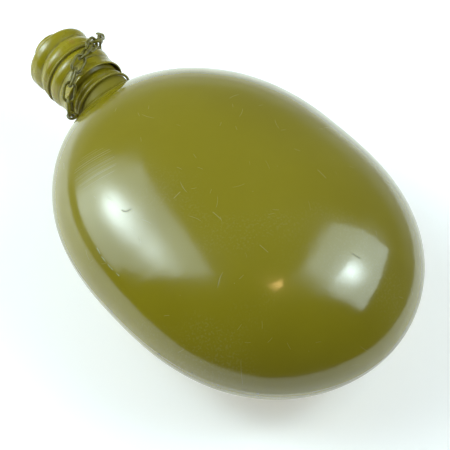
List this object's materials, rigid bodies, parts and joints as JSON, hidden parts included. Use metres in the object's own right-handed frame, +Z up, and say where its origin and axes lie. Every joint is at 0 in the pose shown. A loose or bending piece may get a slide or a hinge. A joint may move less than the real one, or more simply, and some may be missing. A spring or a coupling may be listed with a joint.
{
  "type": "canteen",
  "caption": "Oval pressed-metal canteen in glossy olive paint, with a ribbed screw cap tied to its neck by a wire-link chain.",
  "frame": {"origin": "middle of the outline seen from above, on the surface that the canteen lies on", "axes": "+Z up through the front face with the canteen on its back, +Y along the neck towards the cap, +X across the width"},
  "size_m": [0.1374, 0.2216, 0.076],
  "materials": {
    "body_paint": "glossy olive enamel over pressed aluminium, lightly scratched",
    "neck_paint": "glossy olive enamel, thinner and browner, with worn ridges",
    "cap_paint": "glossy olive enamel over a pressed aluminium cap",
    "wire": "steel wire with worn olive paint",
    "link_wire": "steel wire with worn olive paint",
    "bare_metal": "plain aluminium disc",
    "rubber": "matt black rubber"
  },
  "bodies": {
    "flask": {"front_shell": "body_paint", "back_shell": "body_paint", "neck_collar": "body_paint", "neck_tube": "neck_paint"},
    "neck_ring": {"neck_ring": "wire"},
    "cap_ring": {"cap_ring": "wire"},
    "cap": {"cap_shell": "cap_paint", "seal_plate": "bare_metal", "gasket": "rubber"},
    "link_1": {"link_1": "link_wire"},
    "link_2": {"link_2": "link_wire"},
    "link_3": {"link_3": "link_wire"},
    "link_4": {"link_4": "link_wire"},
    "link_5": {"link_5": "link_wire"},
    "link_6": {"link_6": "link_wire"},
    "link_7": {"link_7": "link_wire"}
  },
  "joints": [
    {"name": "cap_lift", "type": "slide", "parent": "flask", "child": "cap_ring", "axis": [0, 1, 0], "range_m": [0, 0.03]},
    {"name": "cap_turn", "type": "hinge", "parent": "cap_ring", "child": "cap", "pos_m": [0, 0.0882, 0.0376], "axis": [0, 1, 0], "range_deg": [0, 1440]},
    {"name": "neck_ring_swivel", "type": "hinge", "parent": "flask", "child": "neck_ring", "pos_m": [0, 0.0675, 0.0376], "axis": [0, 1, 0], "range_deg": [-90, 0]},
    {"name": "link_1_swing", "type": "hinge", "parent": "cap_ring", "child": "link_1", "pos_m": [0.01473, 0.08922, 0.05076], "axis": [0, 1, 0], "range_deg": [0, 35]},
    {"name": "link_2_swing", "type": "hinge", "parent": "link_1", "child": "link_2", "pos_m": [0.00989, 0.0862, 0.05484], "axis": [0, 1, 0], "range_deg": [0, 18]},
    {"name": "link_3_swing", "type": "hinge", "parent": "link_2", "child": "link_3", "pos_m": [0.00397, 0.08319, 0.05707], "axis": [0, 1, 0], "range_deg": [0, 18]},
    {"name": "link_4_swing", "type": "hinge", "parent": "link_3", "child": "link_4", "pos_m": [-0.00235, 0.08019, 0.05734], "axis": [0, 1, 0], "range_deg": [0, 18]},
    {"name": "link_5_swing", "type": "hinge", "parent": "link_4", "child": "link_5", "pos_m": [-0.00843, 0.07719, 0.0556], "axis": [0, 1, 0], "range_deg": [0, 18]},
    {"name": "link_6_swing", "type": "hinge", "parent": "link_5", "child": "link_6", "pos_m": [-0.01366, 0.07418, 0.05203], "axis": [0, 1, 0], "range_deg": [0, 18]},
    {"name": "link_7_swing", "type": "hinge", "parent": "link_6", "child": "link_7", "pos_m": [-0.01751, 0.07118, 0.04701], "axis": [0, 1, 0], "range_deg": [0, 18]}
  ],
  "couplings": [
    {"joint": "cap_lift", "follows": "cap_turn", "m_per_rad": 0.0011937},
    {"joint": "link_2_swing", "follows": "link_1_swing", "ratio": 0.5142},
    {"joint": "link_3_swing", "follows": "link_1_swing", "ratio": 0.5142},
    {"joint": "link_4_swing", "follows": "link_1_swing", "ratio": 0.5142},
    {"joint": "link_5_swing", "follows": "link_1_swing", "ratio": 0.5142},
    {"joint": "link_6_swing", "follows": "link_1_swing", "ratio": 0.5142},
    {"joint": "link_7_swing", "follows": "link_1_swing", "ratio": 0.5142}
  ]
}
